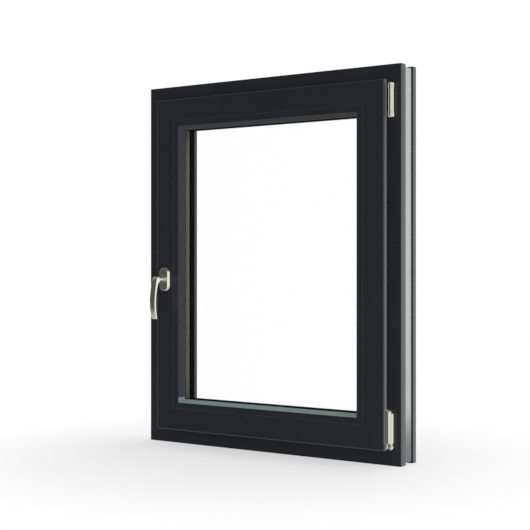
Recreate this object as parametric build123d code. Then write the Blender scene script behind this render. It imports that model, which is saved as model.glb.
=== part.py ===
from build123d import *
import os

os.makedirs("parts", exist_ok=True)

# A tilt-and-turn window seen from the room: X runs to the right, Y points outdoors, Z is up.
# The frame's room face is at Y = 0 and its foot at Z = 0, with X = 0 in the middle of the width.
# Profile sections are drawn as (d, y): d is the distance inward from the frame's outer edge.

# Overall size of the outer frame
width = 800.0
height = 1000.0
frame_depth = 82.0

# Outer frame profile
outer_wall = 3.0
inner_web = 1.6
frame_face = 46.0
lip_height = 25.0
lip_thickness = 16.5
groove_start = 24.5
groove_width = 40.3
groove_depth = 5.0
flange_line_first = 10.5
flange_line_second = 17.5
flange_line_depth = 0.7
rib_height = 15.0
rib_thickness = 4.0
rib_start = 48.0
edge_round = 2.0

# Sash profile
overlap = 8.0
air_gap = 12.0
sash_proud = 20.0
flange_gap = 3.0
sash_depth = 82.0
sash_face = 60.0
seal_step = 6.5
seal_step_start = 44.4
hardware_seat_width = 17.0
hardware_seat_depth = 2.7
hardware_seat_start = 1.5
hardware_channel_width = 13.0
hardware_channel_depth = 10.0
glass_lip_height = 23.5
glass_lip_bevel = 5.0

# Glazing
pane = 4.0
cavity = 16.0
packer = 6.0
seal_depth = 12.0
spacer_height = 7.0
bead_face = 17.0
bead_height = 26.0
gasket = 3.0
bead_foot = 2.7
bead_foot_width = 3.4

# Gaskets keep this clear of what they seal against
seal_clearance = 0.4
seal_play = 0.3
seal_groove = 3.0
seal_groove_width = 4.0
seal_groove_from_edge = 3.0

# Steel reinforcement
steel = 1.5
steel_fit = 0.4
steel_setback = 24.0
frame_steel_row = 45.0
frame_back_row = 55.8
sash_steel_row = 32.0

# Turning axis of the hinge side and tilting axis at the foot
hinge_beside_sash = 14.5
hinge_before_frame = 9.0
tilt_axis_height = 44.0
pin_radius = 3.0
pin_fit = 0.06

# Top stay bearing on the frame
bearing_length = 90.0
bearing_from_head = 45.0
bearing_ear = 15.0
bearing_radius = 7.4
knuckle_radius = 6.5
knuckle_gap = 0.6
bearing_plate = 1.8
pin_knob = 3.0

# Stay arm
arm_length = 380.0
arm_width = 14.0
arm_thickness = 3.0
arm_above_sash = 5.0
strap = 1.9
strap_height = 36.0
strap_from_frame = 0.5
slider_radius = 3.0
slider_play = 1.2
slider_depth = 8.0
slider_head_radius = 5.2
slider_head = 1.2

# Bottom corner hinge
barrel_radius = 4.6
cover_radius = 5.9
barrel_bottom = 57.0
barrel_length = 73.5
cover_cap = 1.5
cover_flag = 10.0
cover_from_sash = 0.8
cover_before_sash = 0.8
cover_flat = 1.6
link_wall = 1.8
link_from_axis = 3.4
plate_from_axis = 2.6
hinge_leaf = 2.4
hinge_leaf_length = 70.0
leaf_above_barrel = 5.0
leaf_past_strap = 8.0
cup_radius = 5.4
cup_floor = 3.0
cup_lip = 1.0
ball_radius = 3.6
adjuster_radius = 2.8
adjuster_length = 12.0
adjuster_from_axis = 8.5
adjuster_before_axis = 3.4

# Handle
handle_height = 459.0
handle_from_edge = 69.8
rose_width = 30.0
rose_height = 66.5
rose_depth = 11.0
rose_wall = 1.3
base_thickness = 4.0
collar_wall = 2.2
neck_radius = 6.5
spindle_side = 7.0
spindle_fit = 0.02
handle_screw_spacing = 43.0
handle_screw_radius = 2.4
handle_screw_head = 4.2
screw_fit = 0.05
lever_width = 15.0
lever_thickness = 9.4
lever_reach = 111.0
lever_stand = 53.0
lever_crown = 1.2
spindle_end = 30.0

# Hardware in the sash groove
plate_thickness = 2.5
plate_width = 16.0
rod_thickness = 2.0
rod_width = 11.0
rod_gap = 0.2
rod_stroke = 36.0
corner_arm = 92.0
band_housing = 32.0
plate_joint = 5.0
guide_travel = 26.0
head_rod_length = 135.0
sill_rod_before_cam = 60.0
sill_plate_from_hinge = 148.0
cam_radius = 4.0
cam_head_radius = 5.5
cam_head = 2.0
cam_reach = 8.0
cam_slot_play = 1.0
cam_to_keep = 2.0
keep_length = 56.0
keep_width = 22.0
keep_base = 2.5
keep_lip = 2.6
keep_lip_height = 7.5
keep_lip_drop = 2.0
gearbox_height = 120.0
gearbox_depth = 24.0
case_play = 0.4
follower_radius = 6.0
follower_width = 11.0
lock_cam_from_corner = 230.0
head_cam_from_corner = 190.0
sill_cam_from_corner = 250.0
keep_past_cam = 12.0
keep_lip_inset = 4.0
tilt_keep_length = 44.0
keep_screw_radius = 1.9
keep_screw_head = 3.3
keep_screw_length = 12.0

# Drainage
drain_slot_length = 30.0
drain_slot_height = 5.0
drain_from_middle = 250.0
drain_height = 20.0
drain_cap_length = 42.0
drain_cap_height = 14.0
drain_cap_depth = 3.0
drain_cap_wall = 8.0

# Places that follow from the sizes above
rebate_front = frame_depth - lip_thickness
lip_edge = frame_face + lip_height
groove_end = groove_start + groove_width
sash_edge = frame_face - overlap
sash_side = frame_face + air_gap
sash_front = -sash_proud
sash_back = sash_depth - sash_proud
flange_back = -flange_gap
seal_from = sash_edge + seal_groove_from_edge
seal_to = seal_from + seal_groove_width
glass_floor = sash_edge + sash_face
sash_sight = glass_floor + glass_lip_height
bead_sight = glass_floor + bead_height
glass_edge = glass_floor + packer
unit_depth = 3 * pane + 2 * cavity
glass_front = sash_back - glass_lip_bevel - 10.0 - gasket - unit_depth
glass_back = glass_front + unit_depth
lip_inside = glass_back + gasket
bead_back = glass_front - gasket
seat_end = hardware_seat_start + hardware_seat_width
groove_middle = (hardware_seat_start + seat_end) / 2
channel_start = groove_middle - hardware_channel_width / 2
channel_end = groove_middle + hardware_channel_width / 2
seat_floor = sash_side + hardware_seat_depth
channel_floor = sash_side + hardware_channel_depth
hinge_x = width / 2 - sash_edge + hinge_beside_sash
hinge_y = -hinge_before_frame
bearing_bottom = height - bearing_from_head - bearing_length
handle_x = handle_from_edge - width / 2
rod_face = seat_floor + rod_gap
rod_under = rod_face + rod_thickness
sill_cam = width - sill_cam_from_corner
lock_cam_heights = (lock_cam_from_corner, height - lock_cam_from_corner)
keep_cams = [("lock", place) for place in lock_cam_heights]
keep_cams += [("head", head_cam_from_corner), ("sill", sill_cam)]
arm_end = sash_side + corner_arm


def outline(*corners):
    """Closed face through (d, y) or (d, y, radius) corners."""
    radii = [corner[2] if len(corner) > 2 else 0 for corner in corners]
    return make_face(FilletPolyline(*[corner[:2] for corner in corners], radius=radii, close=True))


def chamber(d_from, d_to, y_from, y_to):
    """Rectangular hollow of a profile section."""
    middle = ((d_from + d_to) / 2, (y_from + y_to) / 2)
    return Pos(*middle) * Rectangle(d_to - d_from, y_to - y_from)


def block(x_from, x_to, y_from, y_to, z_from, z_to):
    """Box between two opposite corners."""
    size = (x_to - x_from, y_to - y_from, z_to - z_from)
    return Pos((x_from + x_to) / 2, (y_from + y_to) / 2, (z_from + z_to) / 2) * Box(*size)


def upright(x, y, radius, z_from, z_to):
    """Vertical cylinder."""
    return Pos(x, y, (z_from + z_to) / 2) * Cylinder(radius, z_to - z_from)


def through(x, z, radius, y_from, y_to):
    """Cylinder that points outdoors."""
    return Pos(x, (y_from + y_to) / 2, z) * Rot(90, 0, 0) * Cylinder(radius, y_to - y_from)


def length_of(side):
    """Outer length of the frame on that side."""
    return height if side in ("lock", "hinge") else width


def placed(side, shape):
    """Move a length drawn as the lock jamb to its own side of the window."""
    places = {
        "lock": Pos(-width / 2, 0, 0),
        "hinge": Pos(width / 2, 0, height) * Rot(0, 180, 0),
        "sill": Pos(width / 2, 0, 0) * Rot(0, -90, 0),
        "head": Pos(-width / 2, 0, height) * Rot(0, 90, 0),
    }
    return places[side] * shape


def mitred(side, section):
    """Length of profile with both ends cut at 45 degrees, on its own side."""
    length = length_of(side)
    reach = min(width, height) / 2 - 1
    ends = Polyline((0, 0), (reach, reach), (reach, length - reach), (0, length), close=True)
    envelope = extrude(Plane.XZ * make_face(ends), amount=frame_depth * 2, both=True)
    return placed(side, extrude(section, length) & envelope)


def square_cut(side, section, setback):
    """Length of profile with square ends, set back from the frame's outer corners."""
    bar = extrude(section, length_of(side) - 2 * setback)
    return placed(side, Pos(0, 0, setback) * bar)


def ring(section):
    """One closed piece that runs all round with mitred corners."""
    whole = None
    for side in ("lock", "sill", "hinge", "head"):
        length = mitred(side, section)
        whole = length if whole is None else whole + length
    return whole


def groove_box(side, start, end, d_from, d_to, y_from, y_to):
    """Box in the sash groove of one side, from start to end along that side."""
    return placed(side, block(d_from, d_to, y_from, y_to, start, end))


def groove_pin(side, along, radius, d_from, d_to):
    """Cylinder in the middle of the sash groove that points at the frame's rebate."""
    pin = Rot(0, 90, 0) * Cylinder(radius, d_to - d_from)
    return placed(side, Pos((d_from + d_to) / 2, groove_middle, along) * pin)


def save(name, shape):
    export_step(shape, os.path.join("parts", name + ".step"))


# Outer frame

def frame_section():
    line = flange_line_depth
    corners = [(0, 0), (frame_face, 0, edge_round)]
    corners += [(frame_face, rib_start), (frame_face + rib_height, rib_start)]
    corners += [(frame_face + rib_height, rib_start + rib_thickness, 1.5)]
    corners += [(frame_face, rib_start + rib_thickness), (frame_face, rebate_front)]
    corners += [(lip_edge, rebate_front, 1), (lip_edge, frame_depth, edge_round)]
    corners += [(0, frame_depth, 1), (0, groove_end), (groove_depth, groove_end)]
    corners += [(groove_depth, groove_start), (0, groove_start)]
    for place in (flange_line_second, flange_line_first):
        corners += [(0, place + line), (line, place), (0, place - line)]
    section = outline(*corners)
    inside = frame_face - outer_wall
    room_row = groove_start / 2
    base = groove_depth + outer_wall
    back_row = rebate_front + outer_wall
    section -= chamber(outer_wall, inside, outer_wall, room_row)
    section -= chamber(outer_wall, inside, room_row + inner_web, groove_start - outer_wall)
    section -= chamber(base, inside, groove_start - outer_wall + inner_web, frame_steel_row)
    section -= chamber(base, inside, frame_steel_row + inner_web, frame_back_row)
    section -= chamber(base, inside, frame_back_row + inner_web, back_row - inner_web)
    section -= chamber(outer_wall, lip_edge - outer_wall, back_row, frame_depth - outer_wall)
    return section


def frame_steel_section():
    d_from = groove_depth + outer_wall + steel_fit
    d_to = frame_face - outer_wall - steel_fit
    y_from = groove_start - outer_wall + inner_web + steel_fit
    y_to = frame_steel_row - steel_fit
    channel = chamber(d_from, d_to, y_from, y_to)
    return channel - chamber(d_from + steel, d_to, y_from + steel, y_to - steel)


def drain_slots():
    """Slots that let water out of the sill's rebate and through its outdoor wall."""
    slots = []
    for x in (-drain_from_middle, drain_from_middle):
        half = drain_slot_length / 2
        lower = rib_start + rib_thickness + 3
        slots.append(block(x - half, x + half, lower, lower + drain_slot_height,
                           frame_face - outer_wall - 1, frame_face + 1))
        slots.append(block(x - half, x + half, frame_depth - outer_wall - 1, frame_depth + 1,
                           drain_height - drain_slot_height / 2, drain_height + drain_slot_height / 2))
    return slots


def drain_caps():
    caps = []
    for x in (-drain_from_middle, drain_from_middle):
        plate = RectangleRounded(drain_cap_length, drain_cap_height, 4)
        cap = extrude(Plane.XZ.offset(-frame_depth) * Pos(x, drain_height) * plate, -drain_cap_depth)
        cap = chamfer(cap.faces().sort_by(Axis.Y)[-1].edges(), 1.2)
        half = drain_cap_length / 2 - drain_cap_wall
        mouth = block(x - half, x + half, frame_depth - 1, frame_depth + drain_cap_depth / 2,
                      0, drain_height - 2)
        caps.append(cap - mouth)
    return Compound(children=caps)


def keep(side, base_from, base_to, lip_from, lip_to):
    """Keep on the rebate floor: a base with a lip on each side of the cam's path."""
    front = groove_middle - cam_head_radius - keep_lip - cam_to_keep
    back = front + keep_width
    top = frame_face + keep_base
    shape = groove_box(side, base_from, base_to, frame_face, top, front, back)
    lip_top = frame_face + keep_lip_height
    shape += groove_box(side, lip_from, lip_to, top, lip_top, front, front + keep_lip)
    shape += groove_box(side, lip_from, lip_to, top, lip_top - keep_lip_drop, back - keep_lip, back)
    for along in screw_places(base_from, base_to):
        shape -= groove_pin(side, along, keep_screw_radius + screw_fit, frame_face - 1, top + 1)
    return shape


def screw_places(base_from, base_to):
    return (base_from + keep_past_cam, base_to - keep_past_cam / 2)


def locking_keep_reach(cam):
    """Start and end of a locking keep along its side, just before the cam's place at rest."""
    return cam - keep_length, cam + keep_past_cam


def locking_keep(side, cam):
    base_from, base_to = locking_keep_reach(cam)
    lip_to = cam - cam_head_radius - cam_to_keep
    return keep(side, base_from, base_to, base_from + keep_lip_inset, lip_to)


def tilt_keep(cam):
    """Keep that holds the sash's foot when the handle points up and the sill cam has moved into it."""
    base_from = cam + rod_stroke - tilt_keep_length / 2
    base_to = base_from + tilt_keep_length
    return keep("sill", base_from, base_to, base_from + keep_lip_inset, base_to - keep_lip_inset)


def keep_screw_spots():
    """Side and place along it of every screw that holds a keep."""
    spots = []
    for side, cam in keep_cams:
        spots += [(side, place) for place in screw_places(*locking_keep_reach(cam))]
    base_from = sill_cam + rod_stroke - tilt_keep_length / 2
    spots += [("sill", place) for place in screw_places(base_from, base_from + tilt_keep_length)]
    return spots


def keep_screws():
    top = frame_face + keep_base
    screws = []
    for side, along in keep_screw_spots():
        head = groove_pin(side, along, keep_screw_head, top, top + 1.2)
        screws.append(head + groove_pin(side, along, keep_screw_radius, top - keep_screw_length, top))
    return Compound(children=screws)


def keep_screw_holes(side):
    holes = []
    for where, along in keep_screw_spots():
        if where == side:
            holes.append(groove_pin(side, along, keep_screw_radius + screw_fit,
                                    frame_face - outer_wall - 1, frame_face + 1))
    return holes


# Sash

def sash_section():
    foot_middle = (sash_front + bead_back) / 2
    foot_half = bead_foot_width / 2 + 0.2
    foot_depth = bead_foot + 0.3
    corners = [(sash_edge, sash_front, 3), (glass_floor, sash_front, 0.6)]
    corners += [(glass_floor, foot_middle - foot_half), (glass_floor - foot_depth, foot_middle - foot_half)]
    corners += [(glass_floor - foot_depth, foot_middle + foot_half), (glass_floor, foot_middle + foot_half)]
    corners += [(glass_floor, lip_inside), (sash_sight, lip_inside, 1)]
    corners += [(sash_sight, sash_back - glass_lip_bevel), (sash_sight - 3.5, sash_back)]
    corners += [(sash_side + seal_step, sash_back, 1), (sash_side + seal_step, seal_step_start)]
    corners += [(sash_side, seal_step_start), (sash_side, seat_end), (seat_floor, seat_end)]
    corners += [(seat_floor, channel_end), (channel_floor, channel_end)]
    corners += [(channel_floor, channel_start), (seat_floor, channel_start)]
    corners += [(seat_floor, hardware_seat_start), (sash_side, hardware_seat_start)]
    corners += [(sash_side, flange_back), (seal_to, flange_back), (seal_to, flange_back - seal_groove)]
    corners += [(seal_from, flange_back - seal_groove), (seal_from, flange_back)]
    corners += [(sash_edge, flange_back, 1.5)]
    section = outline(*corners)
    deep = channel_floor + outer_wall
    inside = glass_floor - outer_wall
    section -= chamber(sash_edge + outer_wall, inside - 3, sash_front + outer_wall, flange_back - 6)
    section -= chamber(deep, inside, flange_back - 6 + inner_web, -inner_web / 2)
    section -= chamber(deep, inside, inner_web, sash_steel_row)
    section -= chamber(sash_side + outer_wall, deep - inner_web, seat_end + outer_wall,
                       seal_step_start - outer_wall)
    section -= chamber(deep, inside, sash_steel_row + inner_web, lip_inside - inner_web)
    section -= chamber(sash_side + seal_step + outer_wall, sash_sight - 5, lip_inside + outer_wall,
                       sash_back - outer_wall)
    return section


def sash_steel_section():
    d_from = channel_floor + outer_wall + steel_fit
    d_to = glass_floor - outer_wall - steel_fit
    y_from = inner_web + steel_fit
    y_to = sash_steel_row - steel_fit
    channel = chamber(d_from, d_to, y_from, y_to)
    return channel - chamber(d_from, d_to - steel, y_from + steel, y_to - steel)


def gearbox_pocket(play):
    """Room for the gearbox behind the lock stile's groove."""
    d_to = rod_under + rod_gap + gearbox_depth + play
    return block(seat_floor - width / 2, d_to - width / 2, channel_start - 2 * play, channel_end,
                 handle_height - gearbox_height / 2 - play, handle_height + gearbox_height / 2 + play)


def handle_holes():
    """Holes in the sash's room wall for the spindle boss and the two handle screws."""
    holes = through(handle_x, handle_height, 6, sash_front - 1, channel_start + 1)
    for side in (-1, 1):
        z = handle_height + side * handle_screw_spacing / 2
        holes += through(handle_x, z, handle_screw_radius + 0.3, sash_front - 1, channel_start + 1)
    return holes


# Glazing

def bead_section():
    foot_middle = (sash_front + bead_back) / 2
    half = bead_foot_width / 2
    face_end = glass_floor + bead_face
    foot_tip = glass_floor - bead_foot
    corners = [(glass_floor, sash_front, 0.6), (face_end, sash_front, 1.5), (bead_sight, bead_back - 1)]
    corners += [(bead_sight, bead_back), (glass_floor, bead_back), (glass_floor, foot_middle + half)]
    corners += [(foot_tip, foot_middle + half), (foot_tip, foot_middle - half)]
    corners += [(glass_floor, foot_middle - half)]
    hollow = outline((glass_floor + 2, sash_front + 2), (face_end - 1, sash_front + 2),
                     (bead_sight - 5, bead_back - 2), (glass_floor + 2, bead_back - 2))
    return outline(*corners) - hollow


def glass_pane(y_from):
    x = width / 2 - glass_edge
    return block(-x, x, y_from, y_from + pane, glass_edge, height - glass_edge)


def glass_ring(d_from, d_to, y_from, y_to):
    outer = block(d_from - width / 2, width / 2 - d_from, y_from, y_to, d_from, height - d_from)
    inner = block(d_to - width / 2, width / 2 - d_to, y_from, y_to, d_to, height - d_to)
    return outer - inner


def glazing_packers():
    packers = []
    for side, places in (("sill", (150, -150)), ("head", (150, -150)), ("lock", (160, -160)),
                         ("hinge", (160, -160))):
        for place in places:
            start = (place if place > 0 else length_of(side) + place) - 50
            packers.append(groove_box(side, start, start + 100, glass_floor, glass_edge,
                                      glass_front + 1, glass_back - 1))
    return Compound(children=packers)


# Gaskets

def overlap_gasket():
    """Ring in the groove of the sash's overlap, notched where the two hinge straps pass it."""
    foot_from = seal_from + seal_play
    foot_to = seal_to - seal_play
    foot_y = flange_back - seal_groove + seal_play
    gasket_ring = ring(outline(
        (foot_from, foot_y), (foot_to, foot_y), (foot_to, flange_back), (foot_to - 0.8, -seal_clearance),
        (foot_from + 0.4, -seal_clearance), (foot_from, flange_back)))
    arm_top = bearing_bottom + bearing_length - bearing_ear - knuckle_gap
    leaf_from = barrel_bottom + leaf_above_barrel
    straps = ((arm_top - strap_height, arm_top),
              (leaf_from + leaf_past_strap, leaf_from + hinge_leaf_length - leaf_past_strap))
    for low, high in straps:
        gasket_ring -= block(width / 2 - seal_to, width / 2 - seal_from, flange_back, 0, low - 1, high + 1)
    return gasket_ring


# Hinge side

def stay_bearing():
    """Bracket on the frame's face with an ear above and below the stay arm's knuckle."""
    top = bearing_bottom + bearing_length
    right = hinge_x + bearing_radius
    left = hinge_x - plate_from_axis
    body = block(left, right, -bearing_plate, 0, bearing_bottom, top)
    for start in (bearing_bottom, top - bearing_ear):
        ear = upright(hinge_x, hinge_y, bearing_radius, start, start + bearing_ear)
        ear += block(hinge_x - bearing_radius, right, hinge_y, 0, start, start + bearing_ear)
        ear = chamfer(ear.edges().filter_by(GeomType.CIRCLE), 1.2)
        body += ear
    return body - upright(hinge_x, hinge_y, pin_radius + pin_fit, bearing_bottom - 1, top + 1)


def stay_hinge_pin():
    top = bearing_bottom + bearing_length
    pin = upright(hinge_x, hinge_y, pin_radius, bearing_bottom, top)
    for start in (bearing_bottom - pin_knob, top):
        pin += upright(hinge_x, hinge_y, pin_radius + 1.4, start, start + pin_knob)
    return fillet(pin.faces().sort_by(Axis.Z)[-1].edges() + pin.faces().sort_by(Axis.Z)[0].edges(), 1.2)


def stay_arm():
    """Flat arm above the sash, a riser beside it and a strap to the knuckle on the pin."""
    low = height - sash_side + arm_above_sash
    knuckle_from = bearing_bottom + bearing_ear + knuckle_gap
    knuckle_to = bearing_bottom + bearing_length - bearing_ear - knuckle_gap
    rebate = width / 2 - frame_face
    riser_x = rebate - air_gap / 2
    end_x = hinge_x - arm_length
    arm = block(end_x, riser_x + strap, groove_middle - arm_width / 2, groove_middle + arm_width / 2,
                low, low + arm_thickness)
    arm += upright(end_x, groove_middle, arm_width / 2, low, low + arm_thickness)
    front = -strap_from_frame - strap
    arm += block(riser_x, riser_x + strap, front, groove_middle + arm_width / 2,
                 knuckle_to - strap_height, low + arm_thickness)
    arm += block(riser_x, hinge_x - link_from_axis, front, -strap_from_frame,
                 knuckle_to - strap_height, knuckle_to)
    arm += block(hinge_x - link_from_axis - link_wall, hinge_x - link_from_axis, hinge_y,
                 -strap_from_frame, knuckle_to - strap_height, knuckle_to)
    arm += upright(hinge_x, hinge_y, knuckle_radius, knuckle_from, knuckle_to)
    arm -= upright(hinge_x, hinge_y, pin_radius + pin_fit, knuckle_from - 1, knuckle_to + 1)
    return arm - upright(end_x, groove_middle, slider_radius, low - 1, low + arm_thickness + 1)


def stay_slider():
    """Riveted pin at the arm's free end that runs in the guide rail."""
    low = height - sash_side + arm_above_sash
    x = hinge_x - arm_length
    pin = upright(x, groove_middle, slider_radius, height - sash_side - slider_depth, low + arm_thickness)
    top = low + arm_thickness
    return pin + upright(x, groove_middle, slider_head_radius, top, top + slider_head)


def corner_bearing():
    """Bracket on the frame's face with the cup that carries the pivot's ball."""
    left = hinge_x - plate_from_axis
    right = hinge_x + cover_radius
    bottom = tilt_axis_height - ball_radius - cup_floor
    top = tilt_axis_height + ball_radius
    bracket = block(left, right, -bearing_plate, 0, bottom, barrel_bottom + barrel_length)
    bracket += upright(hinge_x, hinge_y, cup_radius, bottom, top)
    bracket += block(left, right - 1, hinge_y, -bearing_plate, bottom, top)
    bracket -= Pos(hinge_x, hinge_y, tilt_axis_height) * Sphere(ball_radius + pin_fit)
    mouth = Cone(pin_radius + cup_lip / 2, ball_radius + cup_lip, 2 * ball_radius)
    opening = Pos(hinge_x, hinge_y, top) * mouth
    return bracket - opening


def corner_pivot_pin():
    pin = upright(hinge_x, hinge_y, pin_radius, tilt_axis_height, barrel_bottom + barrel_length)
    return pin + Pos(hinge_x, hinge_y, tilt_axis_height) * Sphere(ball_radius)


def sash_corner_hinge():
    """Barrel on the pivot pin, strap behind the sash's overlap and leaf on the sash's side."""
    top = barrel_bottom + barrel_length
    side_x = width / 2 - sash_side
    leaf_from = barrel_bottom + leaf_above_barrel
    leaf_to = leaf_from + hinge_leaf_length
    front = -strap_from_frame - strap
    hinge = upright(hinge_x, hinge_y, barrel_radius, barrel_bottom, top)
    hinge += block(hinge_x - link_from_axis - link_wall, hinge_x - link_from_axis, hinge_y,
                   -strap_from_frame, leaf_from + leaf_past_strap, leaf_to - leaf_past_strap)
    hinge += block(side_x, hinge_x - link_from_axis, front, -strap_from_frame,
                   leaf_from + leaf_past_strap, leaf_to - leaf_past_strap)
    hinge += block(side_x, side_x + hinge_leaf, front, seat_end + 12, leaf_from, leaf_to)
    return hinge - upright(hinge_x, hinge_y, pin_radius + pin_fit, barrel_bottom - 1, top + 1)


def corner_hinge_cover():
    """Teardrop cover over the barrel, with a flat front that reaches the sash's edge."""
    near = width / 2 - sash_edge + cover_from_sash
    top = barrel_bottom + barrel_length
    face = sash_front - cover_before_sash
    flat = outline((near, face), (near + cover_flat, face),
                   (hinge_x - 0.4, hinge_y - cover_radius), (hinge_x, hinge_y), (near, hinge_y - 1))
    body = extrude(Pos(0, 0, barrel_bottom) * flat, barrel_length + cover_flag)
    body += upright(hinge_x, hinge_y, cover_radius, barrel_bottom, top + cover_cap)
    body -= upright(hinge_x, hinge_y, barrel_radius + pin_fit, barrel_bottom - 1, top)
    body -= upright(hinge_x, hinge_y, cover_radius + 0.5, top + cover_cap, top + cover_flag + 1)
    body -= block(near - 1, hinge_x - link_from_axis + 0.1, hinge_y - 0.1, 0, barrel_bottom - 1, top)
    knob_x = hinge_x - adjuster_from_axis
    knob = upright(knob_x, hinge_y - adjuster_before_axis, adjuster_radius,
                   barrel_bottom - adjuster_length, barrel_bottom)
    knob = fillet(knob.faces().sort_by(Axis.Z)[0].edges(), 1.2)
    return body + knob


# Handle

def oval(x, z, across, tall):
    return Pos(x, z) * SlotOverall(tall, across, rotation=90)


def handle_base():
    """Base plate under the rose cover, with the collar that the neck turns in."""
    plane = Plane.XZ.offset(-sash_front)
    inset = rose_wall + 0.3
    foot = oval(handle_x, handle_height, rose_width - 2 * inset, rose_height - 2 * inset)
    base = extrude(plane * foot, base_thickness)
    collar_tip = sash_front - rose_depth + 2 * rose_wall
    base += through(handle_x, handle_height, neck_radius + collar_wall, collar_tip, sash_front)
    base -= through(handle_x, handle_height, neck_radius + pin_fit, sash_front - rose_depth, sash_front + 1)
    for side in (-1, 1):
        z = handle_height + side * handle_screw_spacing / 2
        base -= through(handle_x, z, handle_screw_radius + screw_fit,
                        sash_front - base_thickness - 1, sash_front + 1)
    return base


def handle_rose_cover():
    plane = Plane.XZ.offset(-sash_front)
    cover = extrude(plane * oval(handle_x, handle_height, rose_width, rose_height), rose_depth)
    cover = fillet(cover.faces().sort_by(Axis.Y)[0].edges(), 2.0)
    hollow = extrude(plane * oval(handle_x, handle_height, rose_width - 2 * rose_wall,
                                  rose_height - 2 * rose_wall), rose_depth - rose_wall)
    return cover - hollow - through(handle_x, handle_height, neck_radius + 0.4, -100, 0)


def handle_lever():
    """Round neck that turns down into a flat bowed lever."""
    front = sash_front - lever_stand
    neck = through(handle_x, handle_height, neck_radius, front + lever_thickness, sash_front - 1)
    stations = ((0.0, -4.5, 0.86), (0.14, -2.4, 0.96), (0.36, 3.8, 1.0), (0.58, 6.0, 1.0),
                (0.8, 4.8, 0.95), (1.0, 0.4, 0.9))
    sections = []
    for share, bow, scale in stations:
        z = handle_height + neck_radius + lever_crown - share * (lever_reach + neck_radius)
        blade = RectangleRounded(lever_width * scale, lever_thickness * scale, 2.6)
        sections.append(Pos(handle_x, front + 6.0 - bow, z) * blade)
    lever = loft(sections)
    lever = neck + lever
    hole = block(handle_x - spindle_side / 2 - spindle_fit, handle_x + spindle_side / 2 + spindle_fit,
                 sash_front - spindle_end - 1, sash_front, handle_height - spindle_side / 2 - spindle_fit,
                 handle_height + spindle_side / 2 + spindle_fit)
    return lever - hole


def handle_spindle():
    half = spindle_side / 2
    return block(handle_x - half, handle_x + half, sash_front - spindle_end, channel_end - 1,
                 handle_height - half, handle_height + half)


def spindle_follower():
    half = spindle_side / 2 + spindle_fit
    low = handle_height - half
    high = handle_height + half
    hub = through(handle_x, handle_height, follower_radius, groove_middle - follower_width / 2,
                  groove_middle + follower_width / 2)
    return hub - block(handle_x - half, handle_x + half, 0, seat_end, low, high)


def gearbox_case():
    """Flat case in the lock stile's pocket, with the follower's bore and two screw lugs."""
    d_from = rod_under + rod_gap
    x_from = d_from - width / 2
    case = block(x_from, x_from + gearbox_depth, channel_start + case_play, channel_end - case_play,
                 handle_height - gearbox_height / 2, handle_height + gearbox_height / 2)
    case -= through(handle_x, handle_height, follower_radius + pin_fit, channel_start - 1, channel_end + 1)
    for side in (-1, 1):
        z = handle_height + side * handle_screw_spacing / 2
        case -= through(handle_x, z, handle_screw_radius + screw_fit, channel_start - 1, channel_end + 1)
    return case


def handle_screws():
    screws = []
    for side in (-1, 1):
        z = handle_height + side * handle_screw_spacing / 2
        seat = sash_front - base_thickness
        head = through(handle_x, z, handle_screw_head, seat - handle_screw_head / 2, seat)
        screws.append(head + through(handle_x, z, handle_screw_radius, seat, channel_end - 2))
    return Compound(children=screws)


# Hardware in the groove

def plate(side, start, end, slots=()):
    """Faceplate that closes the groove, with a long hole for each cam."""
    strip = groove_box(side, start, end, sash_side, sash_side + plate_thickness,
                       groove_middle - plate_width / 2, groove_middle + plate_width / 2)
    for low, high, half in slots:
        strip -= groove_box(side, low, high, sash_side - 1, sash_side + plate_thickness + 1,
                            groove_middle - half, groove_middle + half)
    return strip


def cam_slot(along, travel):
    """Long hole that lets a cam travel up (positive) or down (negative) along its side."""
    half = cam_radius + cam_slot_play
    low = along + min(travel, 0) - half
    high = along + max(travel, 0) + half
    return (low, high, half)


def drive_rod(side, start, end, cams):
    rod = groove_box(side, start, end, rod_face, rod_under,
                     groove_middle - rod_width / 2, groove_middle + rod_width / 2)
    tip = sash_side - cam_reach
    for along in cams:
        rod += groove_pin(side, along, cam_radius, tip + cam_head, rod_face)
        rod += groove_pin(side, along, cam_head_radius, tip, tip + cam_head)
    return rod


def corner_drive(first, second):
    """Bent faceplate round a sash corner with the housing of the spring band behind it."""
    corners = {"lock": {"head": "end", "sill": "start"}, "head": {"lock": "start"}, "sill": {"lock": "end"}}
    whole = None
    for side, other in ((first, second), (second, first)):
        length = length_of(side)
        if corners[side][other] == "start":
            start, end = sash_side, sash_side + corner_arm
            inner_start, inner_end = seat_floor, seat_floor + band_housing
        else:
            start, end = length - sash_side - corner_arm, length - sash_side
            inner_start, inner_end = length - seat_floor - band_housing, length - seat_floor
        leg = plate(side, start, end)
        leg += groove_box(side, inner_start, inner_end, sash_side + plate_thickness, channel_floor - 1,
                          channel_start + 0.5, channel_end - 0.5)
        whole = leg if whole is None else whole + leg
    return whole


# Build every piece

frame_profile = frame_section()
sash_profile = sash_section()
bead_profile = bead_section()
frame_names = {"lock": "jamb_lock", "hinge": "jamb_hinge", "sill": "sill", "head": "head"}
sash_names = {"lock": "stile_lock", "hinge": "stile_hinge", "sill": "sill", "head": "head"}

for side, name in frame_names.items():
    length = mitred(side, frame_profile)
    if side == "sill":
        for slot in drain_slots():
            length -= slot
    for hole in keep_screw_holes(side):
        length -= hole
    save("frame_" + name, length)
    save("frame_steel_" + name, square_cut(side, frame_steel_section(), frame_face + steel_setback))

for side, name in sash_names.items():
    length = mitred(side, sash_profile)
    reinforcement = square_cut(side, sash_steel_section(), glass_floor + steel_setback)
    if side == "lock":
        length = length - gearbox_pocket(0) - handle_holes()
        reinforcement -= gearbox_pocket(1)
    save("sash_" + name, length)
    save("sash_steel_" + name, reinforcement)
    save("bead_" + name, mitred(side, bead_profile))

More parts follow.
